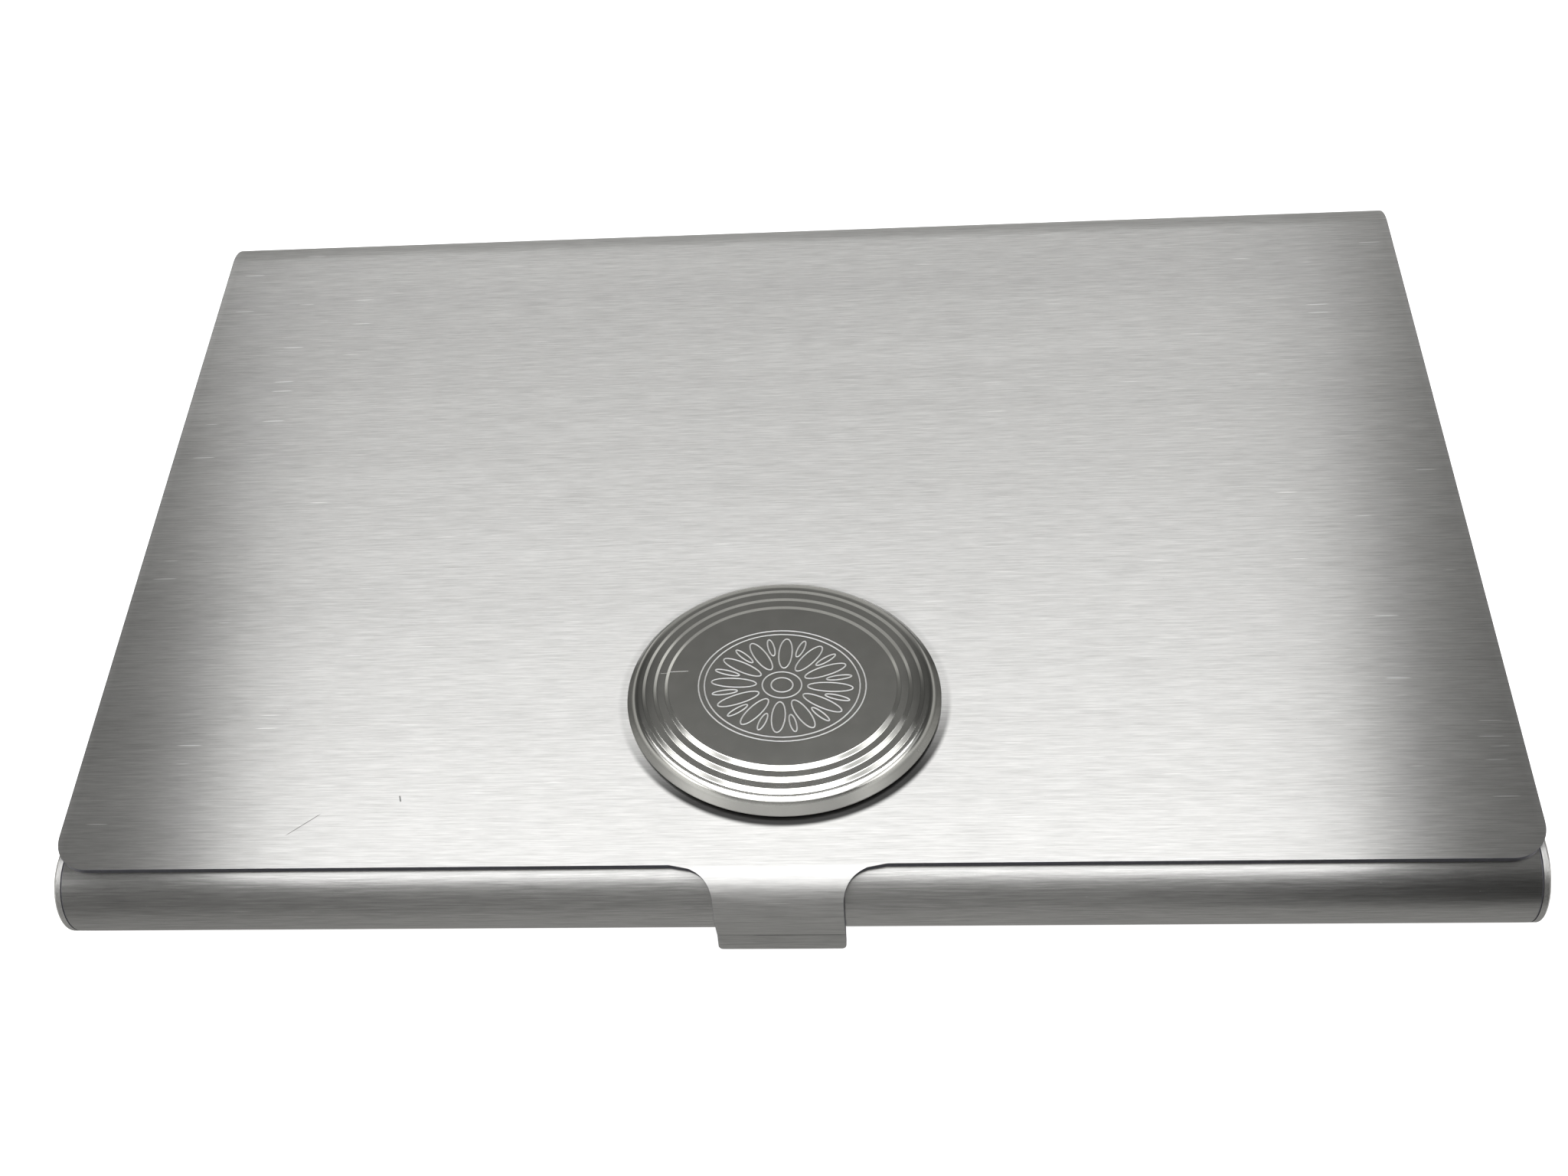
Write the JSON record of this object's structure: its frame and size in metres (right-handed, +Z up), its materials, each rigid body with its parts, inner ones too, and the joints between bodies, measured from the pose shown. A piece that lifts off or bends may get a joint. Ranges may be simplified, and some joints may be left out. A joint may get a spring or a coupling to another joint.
{
  "type": "business card case",
  "caption": "Hinged clamshell case of brushed stainless sheet for business cards, with a thumb tab, rolled edges and a stepped oval medallion on the lid.",
  "frame": {"origin": "on the underside, midway between the end plates and midway between the front of the roll and the back of the spine", "axes": "+X to the right along the hinge, +Y from the thumb tab back to the hinge, +Z up from the table"},
  "size_m": [0.0948, 0.062, 0.0087],
  "materials": {
    "satin_steel": "satin brushed, grain from left to right",
    "polished_steel": "polished, with an etched picture",
    "pin_steel": "plain bright",
    "spring_steel": "rolled",
    "washer_plastic": "natural nylon",
    "adhesive_foam": "black double-sided foam"
  },
  "bodies": {
    "base": {"base_tray": "satin_steel", "end_plate_left": "satin_steel", "end_plate_right": "satin_steel", "hinge_pin_left": "pin_steel", "hinge_pin_right": "pin_steel", "hinge_washer_left": "washer_plastic", "hinge_washer_right": "washer_plastic"},
    "lid": {"lid_shell": "satin_steel", "lid_ear_left": "satin_steel", "lid_ear_right": "satin_steel", "medallion": "polished_steel", "medallion_pad": "adhesive_foam"},
    "spring": {"card_spring": "spring_steel", "card_spring_rivets": "pin_steel"}
  },
  "joints": [
    {"name": "lid_hinge", "type": "hinge", "parent": "base", "child": "lid", "pos_m": [0, 0.02705, 0.00355], "axis": [-1, 0, 0], "range_deg": [0, 100]},
    {"name": "card_spring_flex", "type": "hinge", "parent": "base", "child": "spring", "pos_m": [0, -0.02, 0.00051], "axis": [-1, 0, 0], "range_deg": [0, 1.27], "stiffness_Nm_per_rad": 0.1, "springref_deg": -3.44}
  ]
}
